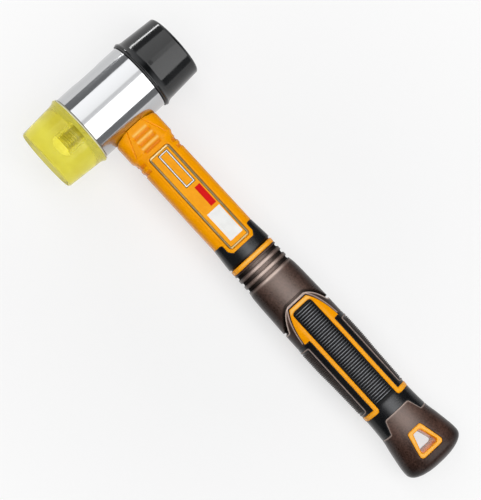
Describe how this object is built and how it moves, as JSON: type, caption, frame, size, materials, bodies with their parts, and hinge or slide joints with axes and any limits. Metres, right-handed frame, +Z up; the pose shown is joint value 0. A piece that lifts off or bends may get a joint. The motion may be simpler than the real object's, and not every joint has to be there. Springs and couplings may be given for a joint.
{
  "type": "soft face hammer",
  "caption": "Soft face hammer with a chromed barrel, screw-on yellow and black faces and an orange, black and brown moulded grip with a hanging hole.",
  "frame": {"origin": "Middle of the footprint, on the surface that the hammer lies on", "axes": "+X along the handle from head to butt, +Y along the barrel towards the black face, +Z up, away from the surface"},
  "size_m": [0.3016, 0.1, 0.0454],
  "materials": {
    "chrome": "mirror chrome plate",
    "steel": "turned and zinc plated",
    "pale_washer": "matt moulded",
    "dark_washer": "matt moulded",
    "clear_yellow": "clear, lightly tinted, glossy",
    "hard_rubber": "polished black",
    "resin": "cast resin",
    "glass_fibre": "pultruded glass fibre",
    "orange_plastic": "satin moulded",
    "sticker": "printed film",
    "black_grip_rubber": "satin moulded",
    "brown_grip_rubber": "fine matt grain"
  },
  "bodies": {
    "hammer": {"head_barrel": "chrome", "yellow_end_plug": "steel", "black_end_plug": "steel", "yellow_end_stud": "steel", "black_end_stud": "steel", "eye_resin": "resin", "glass_fibre_core": "glass_fibre", "orange_jacket": "orange_plastic", "label_sticker": "sticker", "black_collar": "black_grip_rubber", "black_grip": "black_grip_rubber", "grip_side_left": "black_grip_rubber", "grip_side_right": "black_grip_rubber", "brown_sleeve": "brown_grip_rubber", "side_pad_left": "brown_grip_rubber", "side_pad_right": "brown_grip_rubber", "butt_cap": "brown_grip_rubber", "hang_hole_eyelet": "orange_plastic"},
    "yellow_seat": {"yellow_seat_washer": "pale_washer"},
    "yellow_end": {"yellow_face": "clear_yellow"},
    "black_seat": {"black_seat_washer": "dark_washer"},
    "black_end": {"black_face": "hard_rubber"}
  },
  "joints": [
    {"name": "yellow_face_travel", "type": "slide", "parent": "hammer", "child": "yellow_seat", "axis": [0, -1, 0], "range_m": [0, 0.012]},
    {"name": "yellow_face_spin", "type": "hinge", "parent": "yellow_seat", "child": "yellow_end", "pos_m": [-0.12815, 0, 0.0227], "axis": [0, -1, 0], "range_deg": [0, 2880]},
    {"name": "black_face_travel", "type": "slide", "parent": "hammer", "child": "black_seat", "axis": [0, 1, 0], "range_m": [0, 0.012]},
    {"name": "black_face_spin", "type": "hinge", "parent": "black_seat", "child": "black_end", "pos_m": [-0.12815, 0, 0.0227], "axis": [0, 1, 0], "range_deg": [0, 2880]}
  ],
  "couplings": [
    {"joint": "yellow_face_travel", "follows": "yellow_face_spin", "m_per_rad": 0.00023873},
    {"joint": "black_face_travel", "follows": "black_face_spin", "m_per_rad": 0.00023873}
  ]
}
